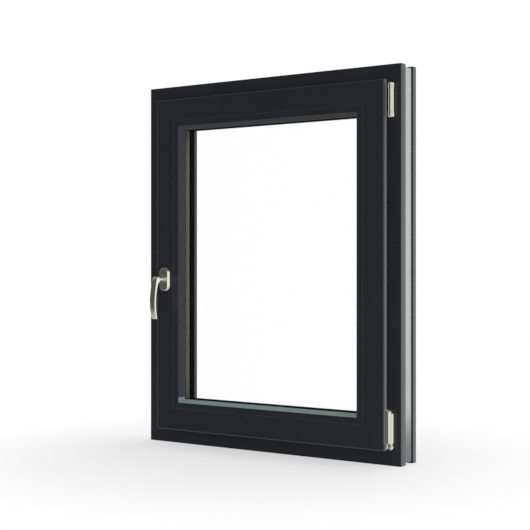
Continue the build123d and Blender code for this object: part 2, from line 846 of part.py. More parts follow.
# Gaskets, each one closed ring
save("gasket_overlap", overlap_gasket())
save("gasket_centre", ring(outline(
    (sash_side + 0.2, rib_start), (frame_face + rib_height, rib_start),
    (frame_face + rib_height - 0.4, seal_step_start + seal_clearance),
    (sash_side + 0.6, seal_step_start + seal_clearance))))
save("gasket_outer", ring(outline(
    (sash_side + 7.5, rebate_front), (lip_edge - 1, rebate_front),
    (lip_edge - 2, sash_back + seal_clearance), (sash_side + 8.5, sash_back + seal_clearance))))
save("gasket_glass_room", ring(outline(
    (bead_sight - 6, bead_back), (bead_sight, bead_back), (bead_sight + 0.3, glass_front - 0.8, 0.3),
    (bead_sight - 0.6, glass_front), (bead_sight - 6, glass_front))))
save("gasket_glass_outdoor", ring(outline(
    (sash_sight - 6, glass_back), (sash_sight - 0.6, glass_back), (sash_sight + 0.3, glass_back + 0.8, 0.3),
    (sash_sight, lip_inside), (sash_sight - 6, lip_inside))))

# Insulating glass unit
for number, name in enumerate(("room", "middle", "outdoor")):
    save("pane_" + name, glass_pane(glass_front + number * (pane + cavity)))
edge_seals = []
for number, name in enumerate(("room", "outdoor")):
    start = glass_front + pane + number * (pane + cavity)
    inner = glass_edge + seal_depth
    save("spacer_" + name, glass_ring(inner, inner + spacer_height, start, start + cavity))
    edge_seals.append(glass_ring(glass_edge, inner, start, start + cavity))
save("edge_seals", Compound(children=edge_seals))
save("glazing_packers", glazing_packers())
save("drain_caps", drain_caps())

# Hinge side
save("stay_bearing", stay_bearing())
save("stay_hinge_pin", stay_hinge_pin())
save("stay_arm", stay_arm())
save("stay_slider", stay_slider())
save("corner_bearing", corner_bearing())
save("corner_pivot_pin", corner_pivot_pin())
save("sash_corner_hinge", sash_corner_hinge())
save("corner_hinge_cover", corner_hinge_cover())

# Handle
save("handle_base", handle_base())
save("handle_rose_cover", handle_rose_cover())
save("handle_lever", handle_lever())
save("handle_spindle", handle_spindle())
save("spindle_follower", spindle_follower())
save("gearbox_case", gearbox_case())
save("handle_screws", handle_screws())

# Drive rods: the lock rod moves up, the head rod away from the corner, the sill rod towards it
rod_start = arm_end + plate_joint
save("rod_lock", drive_rod("lock", rod_start, height - rod_start, lock_cam_heights))
save("rod_head", drive_rod("head", rod_start, rod_start + head_rod_length, (head_cam_from_corner,)))
save("rod_sill", drive_rod("sill", sill_cam - sill_rod_before_cam, width - rod_start, (sill_cam,)))
save("faceplate_lock", plate("lock", arm_end, height - arm_end,
                             [cam_slot(place, rod_stroke) for place in lock_cam_heights]))
guide_x = hinge_x - arm_length + width / 2
guide_slot = (guide_x - slider_radius - slider_play, guide_x + guide_travel, slider_radius + slider_play)
save("guide_rail_head", plate("head", arm_end, width - sash_side - air_gap / 2, [
    cam_slot(head_cam_from_corner, rod_stroke), guide_slot]))
save("faceplate_sill", plate("sill", sill_plate_from_hinge, width - arm_end,
                             [cam_slot(sill_cam, rod_stroke)]))
save("corner_drive_head", corner_drive("lock", "head"))
save("corner_drive_sill", corner_drive("lock", "sill"))

# Keeps on the frame opposite the cams
save("locking_keeps", Compound(children=[locking_keep(side, cam) for side, cam in keep_cams]))
save("tilt_keep", tilt_keep(sill_cam))
save("keep_screws", keep_screws())
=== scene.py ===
"""Looks of a tilt-and-turn window: profile foil, glazing, gaskets, handle, hinges and groove hardware."""

import math

import bmesh
import bpy
from mathutils import Matrix, Vector


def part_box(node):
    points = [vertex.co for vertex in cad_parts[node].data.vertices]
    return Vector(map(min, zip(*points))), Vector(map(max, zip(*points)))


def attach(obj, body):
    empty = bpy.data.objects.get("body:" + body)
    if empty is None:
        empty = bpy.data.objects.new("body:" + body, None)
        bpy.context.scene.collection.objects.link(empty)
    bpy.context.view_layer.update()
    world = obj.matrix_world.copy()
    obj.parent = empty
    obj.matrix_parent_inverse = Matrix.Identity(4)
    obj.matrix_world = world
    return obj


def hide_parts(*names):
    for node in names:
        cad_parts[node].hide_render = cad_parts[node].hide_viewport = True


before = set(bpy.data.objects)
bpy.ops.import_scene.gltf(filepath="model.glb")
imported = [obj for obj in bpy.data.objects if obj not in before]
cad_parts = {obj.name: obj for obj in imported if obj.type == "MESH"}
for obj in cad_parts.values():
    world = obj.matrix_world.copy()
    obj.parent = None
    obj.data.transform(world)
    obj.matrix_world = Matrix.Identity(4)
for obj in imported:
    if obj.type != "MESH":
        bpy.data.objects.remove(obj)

bl_info = {
    "name": "Tilt-and-turn window",
    "version": (1, 0, 0),
    "blender": (4, 5, 0),
    "location": "3D View > Sidebar > Window",
    "description": "Dresses the parts of a tilt-and-turn window and sets its studio",
    "category": "Object",
}

MM = 0.001
SIDES = ("head", "sill", "jamb_lock", "jamb_hinge")
SASH_SIDES = ("head", "sill", "stile_lock", "stile_hinge")
FRAME_LENGTHS = ["frame_" + side for side in SIDES]
SASH_LENGTHS = ["sash_" + side for side in SASH_SIDES]
BEADS = ["bead_" + side for side in SASH_SIDES]
STEELS = ["frame_steel_" + side for side in SIDES] + ["sash_steel_" + side for side in SASH_SIDES]
GASKETS = ["gasket_outer", "gasket_centre", "gasket_overlap", "gasket_glass_room", "gasket_glass_outdoor"]
PANES = ["pane_room", "pane_middle", "pane_outdoor"]

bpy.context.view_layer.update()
HINGE_LOW, HINGE_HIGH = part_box("frame_jamb_hinge")
HALF_WIDTH = HINGE_HIGH[0]
HEIGHT = HINGE_HIGH[2]
DEPTH = HINGE_HIGH[1]
SASH_LOW, SASH_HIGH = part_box("sash_stile_lock")
SASH_EDGE = SASH_LOW[0] + HALF_WIDTH
SASH_FACE_Y = SASH_LOW[1]
SASH_BACK_Y = SASH_HIGH[1]
SASH_SIGHT = SASH_HIGH[0] + HALF_WIDTH
BEAD_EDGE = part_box("bead_stile_lock")[0][0] + HALF_WIDTH
LEVER_LOW, LEVER_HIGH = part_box("handle_lever")
ROSE_LOW, ROSE_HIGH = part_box("handle_rose_cover")
STAY_LOW, STAY_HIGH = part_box("stay_bearing")
PIN_LOW, PIN_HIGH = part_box("corner_pivot_pin")
COVER_LOW, COVER_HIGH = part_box("corner_hinge_cover")
SASH_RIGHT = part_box("sash_stile_hinge")[1][0]

# Hinges
HINGE_X = (PIN_LOW[0] + PIN_HIGH[0]) / 2
HINGE_Y = (PIN_LOW[1] + PIN_HIGH[1]) / 2
EAR_LENGTH = 15 * MM
KNUCKLE_GAP = 0.6 * MM
KNUCKLE_LOW = STAY_LOW[2] + EAR_LENGTH + KNUCKLE_GAP
KNUCKLE_HIGH = STAY_HIGH[2] - EAR_LENGTH - KNUCKLE_GAP
KNUCKLE_BORE, KNUCKLE_RADIUS = 4 * MM, 6.62 * MM
TOP_PIN_RADIUS = 3 * MM
DARK_STRAP_LENGTH = 12 * MM
COVER_BOTTOM = COVER_LOW[2] + 12 * MM
SLEEVE_RADIUS = 5.8 * MM
KNOB_RADIUS, KNOB_DROP = 3.1 * MM, 14 * MM
CUP_RADIUS = 5.3 * MM

# Rose, kept inside the solid's outline but over its base plate
ROSE_TRIM = 0.8 * MM
ROSE_FRONT_TRIM = 1.2 * MM
COLLAR_WIDTH = 2.2 * MM

# Bands of colour, in millimetres of depth or inward from the frame's edge
# Painted sheen: grey bands on the outer flanges' sides stand in for the light that the anthracite foil
# catches there
FLANGE_SHEEN_BANDS = ((10.6, 17.5, 1.0), (17.5, 24.4, 0.55), (64.9, 80.5, 0.5))  # from, to, strength
FLANGE_SKIN = 1.2
GROOVE_FROM, GROOVE_TO, GROOVE_FLOOR = 24.6, 64.2, 6
# Bounds of the painted light on the lower bead's slope
SLOPE_FROM, SLOPE_TO, SLOPE_START = -20.2, -0.5, 115.3
LOWER_BEAD_TOP = 130
# Painted reflections: light bands on the room side spacer's upright sides
SPACER_REFLECTION_BANDS = ((3.9, 8.0, 15.0), (8.0, 11.5, 8.0), (11.5, 20.1, 15.0))  # from, to, tone
SPACER_CORNER = 124.5
# Painted shade: heights between which the groove's pale core darkens towards its foot
GROOVE_SHADE_FROM, GROOVE_SHADE_TO = 0.03, 0.16  # height in metres

# Stage
FLOOR_REACH = 30.0
FLOOR_LEVEL = -0.3 * MM
FADE_FROM, FADE_TO = 0.15, 1.0
ROOM_DIRECTION = (-0.58, -0.815, 0)
ROOM_EDGE, ROOM_HEART = 0.6, 0.93
SENSOR_WIDTH = 36


# Settings

class FoilSettings(bpy.types.PropertyGroup):
    """Outer foil and core of the plastic profiles."""

    colour: bpy.props.FloatVectorProperty(
        name="Foil colour", description="Anthracite of the foiled faces", subtype="COLOR",
        size=3, min=0, max=1, default=(0.0215, 0.0232, 0.029))
    groove_colour: bpy.props.FloatVectorProperty(
        name="Groove colour", description="Bare core in the outer groove", subtype="COLOR",
        size=3, min=0, max=1, default=(0.462, 0.467, 0.447))
    # Painted sheen: this grey of the outer flanges' sides stands in for light on the anthracite foil
    flange_sheen_colour: bpy.props.FloatVectorProperty(
        name="Flange colour", description="Grey side of the outer flanges", subtype="COLOR",
        size=3, min=0, max=1, default=(0.085, 0.09, 0.094))
    # Painted light: the lit slope of the lower bead, which is the same anthracite foil
    ledge_light_colour: bpy.props.FloatVectorProperty(
        name="Ledge colour", description="Foil on the sloped lower bead", subtype="COLOR",
        size=3, min=0, max=1, default=(0.26, 0.34, 0.34))
    roughness: bpy.props.FloatProperty(
        name="Roughness", description="Roughness of the satin foil", min=0, max=1, default=0.26)
    grain: bpy.props.FloatProperty(
        name="Grain", description="Depth of the foil's fine grain", unit="LENGTH", default=0.000012)
    seam_width: bpy.props.FloatProperty(
        name="Seam width", description="Width of the line along each mitre", unit="LENGTH", default=0.0004)


class MetalSettings(bpy.types.PropertyGroup):
    """Satin nickel of the visible fittings and zinc of the hidden ones."""

    nickel: bpy.props.FloatVectorProperty(
        name="Nickel", description="Colour of the satin nickel", subtype="COLOR",
        size=3, min=0, max=1, default=(0.7, 0.68, 0.61))
    zinc: bpy.props.FloatVectorProperty(
        name="Zinc", description="Colour of the zinc plated fittings", subtype="COLOR",
        size=3, min=0, max=1, default=(0.6, 0.61, 0.6))
    nickel_roughness: bpy.props.FloatProperty(
        name="Nickel roughness", description="Roughness of the satin nickel", min=0, max=1, default=0.24)
    bearing_trim: bpy.props.FloatProperty(
        name="Bearing trim", description="Rounding kept off each end of the top bearing", unit="LENGTH",
        default=0.0024)


class HandleSettings(bpy.types.PropertyGroup):
    """Lever and rose of the handle."""

    lever_width: bpy.props.FloatProperty(
        name="Lever width", description="Width of the lever's blade", unit="LENGTH", default=0.0188)
    neck_radius: bpy.props.FloatProperty(
        name="Neck radius", description="Radius of the round neck", unit="LENGTH", default=0.0064)
    edge_round: bpy.props.FloatProperty(
        name="Edge round", description="Radius of the blade's long edges", unit="LENGTH", default=0.0018)
    rose_edge: bpy.props.FloatProperty(
        name="Rose edge", description="Width of the rose's bright edge", unit="LENGTH", default=0.0008)


class StudioSettings(bpy.types.PropertyGroup):
    """Floor, lamps and camera."""

    floor_colour: bpy.props.FloatVectorProperty(
        name="Floor colour", description="Pale floor", subtype="COLOR",
        size=3, min=0, max=1, default=(0.86, 0.86, 0.865))
    floor_lift: bpy.props.FloatProperty(
        name="Floor lift", description="Share of plain white in the floor near the window", min=0, max=1,
        default=0.5)
    ambient: bpy.props.FloatProperty(
        name="Ambient", description="Even light from all sides", min=0, max=4, default=0.62)
    surround: bpy.props.FloatProperty(
        name="Surround", description="Brightness of the walls in the gloss", min=0, max=4, default=1.0)
    surround_behind: bpy.props.FloatProperty(
        name="Surround behind", description="Brightness added behind the window", min=0, max=4, default=0.46)
    surround_above: bpy.props.FloatProperty(
        name="Surround above", description="Brightness added, or taken away, high behind the window",
        min=-9, max=9, default=-2.5)
    shade: bpy.props.FloatProperty(
        name="Shade", description="Brightness of the room in front of the window", min=0, max=4,
        default=0.1)
    key_power: bpy.props.FloatProperty(
        name="Key lamp", description="Power of the soft lamp above and behind", unit="POWER", default=26)
    side_power: bpy.props.FloatProperty(
        name="Side lamp", description="Power of the soft lamp on the right", unit="POWER", default=20)
    camera_place: bpy.props.FloatVectorProperty(
        name="Camera place", description="Where the camera stands", subtype="TRANSLATION",
        unit="LENGTH", size=3, default=(1.7510, -2.5954, 0.5080))
    camera_turn: bpy.props.FloatProperty(
        name="Camera turn", description="Turn of the camera round the vertical", unit="ROTATION",
        default=math.radians(34.106))
    lens: bpy.props.FloatProperty(
        name="Lens", description="Focal length in millimetres on a 36 mm sensor", default=79.79)
    rise: bpy.props.FloatProperty(
        name="Rise", description="Vertical shift of the lens", default=-0.0062)


class WindowSettings(bpy.types.PropertyGroup):
    """All settings of the window."""

    foil: bpy.props.PointerProperty(type=FoilSettings)
    metal: bpy.props.PointerProperty(type=MetalSettings)
    handle: bpy.props.PointerProperty(type=HandleSettings)
    studio: bpy.props.PointerProperty(type=StudioSettings)


# Materials

class Finish:
    """A material with one Principled surface and the nodes that vary it."""

    def __init__(self, name, **uniform):
        self.material = bpy.data.materials.new(name)
        self.material.use_nodes = True
        self.tree = self.material.node_tree
        self.surface = self.tree.nodes["Principled BSDF"]
        self.output = self.tree.nodes["Material Output"]
        for label, value in uniform.items():
            self.surface.inputs[label.replace("_", " ")].default_value = value
        self.place = self.node("ShaderNodeTexCoord").outputs["Object"]

    def node(self, kind, inputs=(), **settings):
        """A new node with its settings, and its inputs linked or set in order."""
        made = self.tree.nodes.new(kind)
        for label, value in settings.items():
            setattr(made, label, value)
        for key, value in dict(inputs).items():
            socket = made.inputs[key]
            if isinstance(value, bpy.types.NodeSocket):
                self.tree.links.new(value, socket)
            else:
                socket.default_value = value
        return made

    def math(self, operation, first, second=0.0):
        return self.node("ShaderNodeMath", {0: first, 1: second}, operation=operation).outputs[0]

    def noise(self, scale, detail=4.0, stretch=(1, 1, 1)):
        """Noise over the object's own coordinates, stretched along an axis where wanted."""
        spread = self.node("ShaderNodeVectorMath", {0: self.place, 1: stretch}, operation="MULTIPLY")
        made = self.node("ShaderNodeTexNoise", {"Vector": spread.outputs[0], "Scale": scale,
                                                "Detail": detail})
        return made.outputs["Fac"]

    def cells(self, scale):
        made = self.node("ShaderNodeTexVoronoi", {"Vector": self.place, "Scale": scale})
        return made.outputs["Color"]

    def between(self, share, low, high):
        """A value that runs from low to high with the share."""
        made = self.node("ShaderNodeMapRange", {"Value": share, "To Min": low, "To Max": high})
        return made.outputs[0]

    def blend(self, share, first, second):
        """A colour between two colours."""
        made = self.node("ShaderNodeMix", {0: share}, data_type="RGBA")
        for key, value in ((6, first), (7, second)):
            if isinstance(value, bpy.types.NodeSocket):
                self.tree.links.new(value, made.inputs[key])
            else:
                made.inputs[key].default_value = (*value[:3], 1)
        return made.outputs[2]

    def smooth(self, value, low, high):
        """A smooth rise from 0 to 1 between two values."""
        made = self.node("ShaderNodeMapRange", {"Value": value, "From Min": low, "From Max": high},
                         interpolation_type="SMOOTHSTEP")
        return made.outputs[0]

    def colour(self, socket):
        self.tree.links.new(socket, self.surface.inputs["Base Color"])

    def roughness(self, socket):
        self.tree.links.new(socket, self.surface.inputs["Roughness"])

    def relief(self, height, depth):
        """Fine relief of the given depth in metres."""
        bump = self.node("ShaderNodeBump", {"Height": height, "Strength": 1.0, "Distance": depth})
        self.tree.links.new(bump.outputs[0], self.surface.inputs["Normal"])

    def step(self, value, edge):
        return self.math("GREATER_THAN", value, edge)

    def inward(self):
        """Distance inward from the outer frame's edge, the depth along Y and the height."""
        axes = self.node("ShaderNodeSeparateXYZ", {0: self.place})
        across = self.math("SUBTRACT", HALF_WIDTH, self.math("ABSOLUTE", axes.outputs[0]))
        above = self.math("SUBTRACT", HEIGHT, axes.outputs[2])
        upright = self.math("MINIMUM", axes.outputs[2], above)
        return self.math("MINIMUM", across, upright), axes.outputs[1], axes.outputs[2]

    def within(self, value, low, high):
        """1 between two places given in millimetres."""
        return self.math("MULTIPLY", self.step(value, low * MM), self.math("LESS_THAN", value, high * MM))


def scaled(colour, factor):
    """A colour made darker or lighter, and no brighter than white."""
    return tuple(min(1.0, channel * factor) for channel in colour[:3])


def foil_finish(name, foil, groove_and_painted_light=False):
    """Satin anthracite foil with a very fine grain.

    On the outer frame the flange sides get painted sheen in grey bands and the pale core shows in the groove,
    darkened towards its foot by painted shade; on the sash the slope of the lower bead gets painted light.
    """
    made = Finish(name, IOR=1.5, Specular_Tint=(0.9, 1.0, 0.99, 1.0))
    cloud = made.noise(7.0, 5.0)
    fine = made.noise(1600.0, 2.0)
    face = made.blend(cloud, scaled(foil.colour, 0.9), scaled(foil.colour, 1.12))
    rough = made.between(cloud, foil.roughness - 0.03, foil.roughness + 0.05)
    inward, depth, upright = made.inward()
    if groove_and_painted_light:
        side = made.math("LESS_THAN", inward, FLANGE_SKIN * MM)
        streak = made.noise(30.0, 3.0, (1, 1, 0.05))
        # Painted sheen on the outer flanges' sides, in bands by depth
        painted_sheen = made.blend(streak, scaled(foil.flange_sheen_colour, 0.9), scaled(foil.flange_sheen_colour, 1.1))
        for y_from, y_to, strength in FLANGE_SHEEN_BANDS:
            band = made.within(depth, y_from, y_to)
            share = made.math("MULTIPLY", made.math("MULTIPLY", side, strength), band)
            face = made.blend(share, face, painted_sheen)
        light = made.blend(streak, scaled(foil.groove_colour, 0.94), scaled(foil.groove_colour, 1.05))
        # Painted shade: the groove's pale core darkens towards the foot
        unshaded = made.smooth(upright, GROOVE_SHADE_FROM, GROOVE_SHADE_TO)
        light = made.blend(unshaded, scaled(foil.groove_colour, 0.25), light)
        groove = made.math("LESS_THAN", inward, GROOVE_FLOOR * MM)
        groove = made.math("MULTIPLY", made.within(depth, GROOVE_FROM, GROOVE_TO), groove)
        face = made.blend(groove, face, light)
    else:
        # Painted light on the slope of the lower bead
        lit_ledge = made.math("LESS_THAN", upright, LOWER_BEAD_TOP * MM)
        lit_ledge = made.math("MULTIPLY", made.within(depth, SLOPE_FROM, SLOPE_TO), lit_ledge)
        lit_ledge = made.math("MULTIPLY", lit_ledge, made.step(inward, SLOPE_START * MM))
        face = made.blend(lit_ledge, face, foil.ledge_light_colour)
    made.colour(face)
    made.roughness(rough)
    made.relief(fine, foil.grain)
    return made.material


def seam_finish():
    """Near black of the line that a weld leaves along a mitre."""
    made = Finish("mitre_seam", Roughness=0.6, IOR=1.5)
    made.colour(made.blend(made.noise(300.0), (0.004, 0.0045, 0.005), (0.008, 0.009, 0.01)))
    return made.material


def rubber_finish():
    """Dull black gasket rubber."""
    made = Finish("gasket_rubber", IOR=1.5, Specular_IOR_Level=0.25)
    cloud = made.noise(60.0, 5.0)
    made.colour(made.blend(cloud, (0.008, 0.008, 0.009), (0.018, 0.018, 0.019)))
    made.roughness(made.between(cloud, 0.5, 0.7))
    made.relief(made.noise(2200.0, 2.0), 0.02 * MM)
    return made.material


def satin_metal(name, colour, roughness, brushed=(1, 1, 12)):
    """Satin metal with fine brushing along one axis."""
    made = Finish(name, Metallic=1.0)
    brush = made.noise(900.0, 3.0, brushed)
    cloud = made.noise(25.0, 4.0)
    made.colour(made.blend(cloud, scaled(colour, 0.94), scaled(colour, 1.05)))
    made.roughness(made.between(brush, roughness - 0.05, roughness + 0.07))
    made.relief(brush, 0.004 * MM)
    return made.material


def strap_finish(metal):
    """Zinc plated stay arm whose strap beside the knuckle is dark."""
    made = Finish("stay_arm_zinc", Metallic=1.0)
    axes = made.node("ShaderNodeSeparateXYZ", {0: made.place})
    # The strap is dark from this far inside the sash's right edge outwards, in the gap by the hinge
    dark_strap = made.step(axes.outputs[0], SASH_RIGHT - DARK_STRAP_LENGTH)
    cloud = made.noise(25.0, 4.0)
    bare = made.blend(cloud, scaled(metal.zinc, 0.94), scaled(metal.zinc, 1.05))
    made.colour(made.blend(dark_strap, bare, (0.012, 0.013, 0.015)))
    made.roughness(made.between(cloud, 0.34, 0.44))
    return made.material


def galvanised_finish():
    """Zinc coated steel with its spangle."""
    made = Finish("galvanised_steel", Metallic=1.0)
    spangle = made.cells(180.0)
    made.colour(made.blend(spangle, (0.42, 0.43, 0.44), (0.62, 0.63, 0.64)))
    made.roughness(made.between(spangle, 0.34, 0.5))
    return made.material


def plastic_finish(name, dark, light, rough=0.45):
    """Moulded plastic with faint clouds and a fine grain."""
    made = Finish(name, IOR=1.46)
    cloud = made.noise(40.0, 5.0)
    made.colour(made.blend(cloud, dark, light))
    made.roughness(made.between(cloud, rough - 0.06, rough + 0.08))
    made.relief(made.noise(1500.0, 2.0), 0.01 * MM)
    return made.material


def spacer_finish(name, colour, painted_reflections=False):
    """Warm-edge spacer with a row of fine breather dots; the room side one gets painted reflections in light
    bands on its upright sides.
    """
    made = Finish(name, Specular_IOR_Level=0.0)
    axes = made.node("ShaderNodeSeparateXYZ", {0: made.place})
    face = colour
    if painted_reflections:
        # Painted reflections: light bands by depth on the upright sides
        sides = made.within(axes.outputs[2], SPACER_CORNER, HEIGHT / MM - SPACER_CORNER)
        for y_from, y_to, tone in SPACER_REFLECTION_BANDS:
            share = made.math("MULTIPLY", sides, made.within(axes.outputs[1], y_from, y_to))
            face = made.blend(share, face, scaled(colour, tone))
    ridge = made.math("SINE", made.math("MULTIPLY", axes.outputs[1], 2 * math.pi / (2 * MM)))
    along = made.math("ADD", axes.outputs[0], axes.outputs[2])
    dots = made.step(made.math("SINE", made.math("MULTIPLY", along, 2 * math.pi / (4 * MM))), 0.75)
    hole = made.math("MULTIPLY", dots, made.step(ridge, 0.8))
    made.colour(made.blend(hole, face, scaled(colour, 0.5)))
    made.roughness(made.between(made.noise(80.0), 0.4, 0.55))
    made.relief(ridge, 0.03 * MM)
    return made.material


def glass_finish():
    """Clear float glass: see-through, with a mirror sheen that grows towards a grazing view."""
    made = Finish("float_glass", Roughness=0.02, Metallic=1.0)
    faint = made.noise(2.0, 2.0)
    made.colour(made.blend(faint, (0.9, 0.96, 0.94), (0.96, 0.99, 0.98)))
    clear = made.node("ShaderNodeBsdfTransparent", {"Color": (0.9995, 1.0, 0.9998, 1)})
    grazing = made.node("ShaderNodeLayerWeight", {"Blend": 0.5}).outputs["Facing"]
    share = made.math("ADD", 0.002, made.math("MULTIPLY", made.math("POWER", grazing, 4.0), 0.8))
    both = made.node("ShaderNodeMixShader", {0: share, 1: clear.outputs[0], 2: made.surface.outputs[0]})
    made.tree.links.new(both.outputs[0], made.output.inputs["Surface"])
    return made.material


# Mesh helpers

def new_piece(name, verts, faces, material, body, slot, angle=35.0):
    """Mesh object with smooth shading up to the given angle, riding on a body."""
    mesh = bpy.data.meshes.new(name)
    mesh.from_pydata([tuple(v) for v in verts], [], faces)
    shape = bmesh.new()
    shape.from_mesh(mesh)
    bmesh.ops.recalc_face_normals(shape, faces=shape.faces)
    shape.to_mesh(mesh)
    shape.free()
    mesh.shade_smooth()
    mesh.set_sharp_from_angle(angle=math.radians(angle))
    mesh.materials.append(material)
    piece = bpy.data.objects.new(name, mesh)
    bpy.context.scene.collection.objects.link(piece)
    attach(piece, body)
    return piece


def lofted(rings, cap_start=True, cap_end=True):
    """Vertices and faces of a skin through rings with equal numbers of points."""
    count = len(rings[0])
    verts = [point for ring in rings for point in ring]
    faces = []
    for level in range(len(rings) - 1):
        for k in range(count):
            after = (k + 1) % count
            low = level * count
            faces.append((low + k, low + after, low + count + after, low + count + k))
    if cap_start:
        faces.append(tuple(range(count - 1, -1, -1)))
    if cap_end:
        faces.append(tuple(range(len(verts) - count, len(verts))))
    return verts, faces


def combined(*parts):
    """Vertices and faces of several meshes as one."""
    verts, faces = [], []
    for part_verts, part_faces in parts:
        start = len(verts)
        verts += list(part_verts)
        faces += [tuple(start + index for index in face) for face in part_faces]
    return verts, faces


def rounded_rectangle(width, height, radius, steps=5):
    """Points of a rounded rectangle, anticlockwise."""
    points = []
    for corner, (sx, sy) in enumerate(((1, 1), (-1, 1), (-1, -1), (1, -1))):
        cx = sx * (width / 2 - radius)
        cy = sy * (height / 2 - radius)
        for step in range(steps + 1):
            turn = math.radians(90 * corner + 90 * step / steps)
            points.append((cx + radius * math.cos(turn), cy + radius * math.sin(turn)))
    return points


def turned(profile, centre, axis="Z", steps=48):
    """Skin of a profile of (radius, along) turned about an axis through the centre."""
    rings = []
    for radius, along in profile:
        ring = []
        for step in range(steps):
            turn = 2 * math.pi * step / steps
            u, v = radius * math.cos(turn), radius * math.sin(turn)
            point = (u, v, along) if axis == "Z" else (u, along, v)
            ring.append(Vector(centre) + Vector(point))
        rings.append(ring)
    return lofted(rings)


def dress(names, material):
    """Give CAD nodes a finish and keep them out of reflections."""
    for name in names:
        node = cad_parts[name]
        node.visible_glossy = False
        node.data.materials.clear()
        node.data.materials.append(material)


# Pieces

CORNERS = (("lock_sill", -1, -1), ("hinge_sill", 1, -1), ("lock_head", -1, 1), ("hinge_head", 1, 1))


def corner_point(x_side, z_side, inward, depth):
    """A point on a mitre, by its distance inward and its depth."""
    x = x_side * (HALF_WIDTH - inward)
    z = inward if z_side < 0 else HEIGHT - inward
    return Vector((x, depth, z))


def mitre_line(x_side, z_side, contour, width, lift):
    """Thin strip along a mitre that follows a contour of (inward, depth) points."""
    along_x, along_z = -x_side, -z_side
    across = Vector((along_x, 0, -along_z)).normalized() * width / 2
    rings = []
    for index, (inward, depth) in enumerate(contour):
        before = contour[max(index - 1, 0)]
        after = contour[min(index + 1, len(contour) - 1)]
        run = Vector((after[0] - before[0], after[1] - before[1])).normalized()
        out = (inward + run.y * lift, depth - run.x * lift)
        into = (inward - run.y * lift, depth + run.x * lift)
        top = corner_point(x_side, z_side, *out)
        base = corner_point(x_side, z_side, *into)
        rings.append([base - across, top - across * 0.6, top + across * 0.6, base + across])
    return lofted(rings)


def add_mitre_lines(foil):
    """Fine lines at the welded corners of frame and sash."""
    material = seam_finish()
    frame_front = [(1 * MM, 0), (44 * MM, 0)]
    frame_back = [(HINGE_HIGH[0] - HINGE_LOW[0] - 2 * MM, DEPTH), (1 * MM, DEPTH)]
    sash_front = [(SASH_EDGE + 3 * MM, SASH_FACE_Y), (BEAD_EDGE + 2.3 * MM, SASH_FACE_Y)]
    sash_back = [(SASH_SIGHT - 3.6 * MM, SASH_BACK_Y), (66 * MM, SASH_BACK_Y)]
    for name, x_side, z_side in CORNERS:
        for label, body, contour in (("frame_seam_room_", "frame", frame_front),
                                     ("frame_seam_outdoor_", "frame", frame_back),
                                     ("sash_seam_room_", "sash", sash_front),
                                     ("sash_seam_outdoor_", "sash", sash_back)):
            verts, faces = mitre_line(x_side, z_side, contour, foil.seam_width, 0.05 * MM)
            new_piece(label + name, verts, faces, material, body, "anthracite")


def smooth_line(points, steps=5):
    """Rows of values along a smooth curve through the given rows."""
    ends = [points[0], *points, points[-1]]
    line = []
    for before, start, end, after in zip(ends, ends[1:], ends[2:], ends[3:]):
        for step in range(steps):
            t = step / steps
            line.append(tuple(
                0.5 * (2 * b + (c - a) * t + (2 * a - 5 * b + 4 * c - d) * t * t
                       + (3 * b - a - 3 * c + d) * t ** 3)
                for a, b, c, d in zip(before, start, end, after)))
    return line + [points[-1]]


def lever_shape(handle):
    """Round neck, smooth bend, slanted crown and a bowed blade, as rows of cross sections.

    A row holds the outer and the inner point in the side view, the half width and the edge radius.
    The points count from the blade's foremost line, the crown and the neck's axis, in millimetres.
    """
    x = (LEVER_LOW[0] + LEVER_HIGH[0]) / 2
    front, crown, tip = LEVER_LOW[1] / MM, LEVER_HIGH[2] / MM, LEVER_LOW[2] / MM
    axis = (ROSE_LOW[2] + ROSE_HIGH[2]) / 2 / MM
    neck, wide, edge = handle.neck_radius / MM, handle.lever_width / MM / 2, handle.edge_round / MM
    root = SASH_FACE_Y / MM - 9
    bend = smooth_line([
        (root, axis + 5.4, root, axis - 5.4, neck, 5.2),
        (front + 34, axis + 5.4, front + 33, axis - 5.4, neck, 5.0),
        (front + 26, axis + 5.6, front + 26.5, axis - 6.2, neck + 0.3, 4.2),
        (front + 21.2, axis + 6.6, front + 22.6, axis - 7.6, wide - 1.5, 3.2),
        (front + 18.2, crown - 0.2, front + 19.4, axis - 9.4, wide - 1.2, 2.6)], 3)
    facet = [(front + 16.5, crown, front + 17.6, axis - 10.6, wide - 1.1, 2.3),
             (front + 12.6, crown - 0.9, front + 15.6, axis - 12.4, wide - 1.0, 2.1),
             (front + 8.8, crown - 7.2, front + 13.4, axis - 16, wide - 0.7, edge + 0.1)]
    blade = smooth_line([
        (front + 7.0, crown - 12, front + 12.3, axis - 19.5, wide - 0.6, edge),
        (front + 1.1, crown - 42, front + 7.8, crown - 44, wide - 0.2, edge),
        (front - 1.2, crown - 68, front + 5.4, crown - 68, wide, edge),
        (front + 0.4, crown - 94, front + 6.9, crown - 94, wide - 0.6, edge),
        (front + 5.4, tip + 0.8, front + 11.6, tip + 0.8, wide - 1.4, edge - 0.1)], 7)
    end = [(front + 6.2, tip, front + 10.9, tip, wide - 2.2, edge - 0.5)]
    rings = []
    for outer_y, outer_z, inner_y, inner_z, half, radius in bend + facet + blade + end:
        outer, inner = Vector((outer_y, outer_z)) * MM, Vector((inner_y, inner_z)) * MM
        middle, along = (outer + inner) / 2, outer - inner
        ring = []
        for u, v in rounded_rectangle(2 * half * MM, along.length, radius * MM):
            spot = middle + along.normalized() * v
            ring.append(Vector((x + u, spot.x, spot.y)))
        rings.append(ring)
    return lofted(rings)


def oval_ring(x, y, z, across, tall, steps=24):
    """Upright oval with straight flanks, at depth y."""
    radius = across / 2
    straight = tall / 2 - radius
    points = []
    for end, turn_from in ((1, 0), (-1, 180)):
        for step in range(steps + 1):
            turn = math.radians(turn_from + 180 * step / steps)
            height = z + end * straight + radius * math.sin(turn)
            points.append(Vector((x + radius * math.cos(turn), y, height)))
    return points


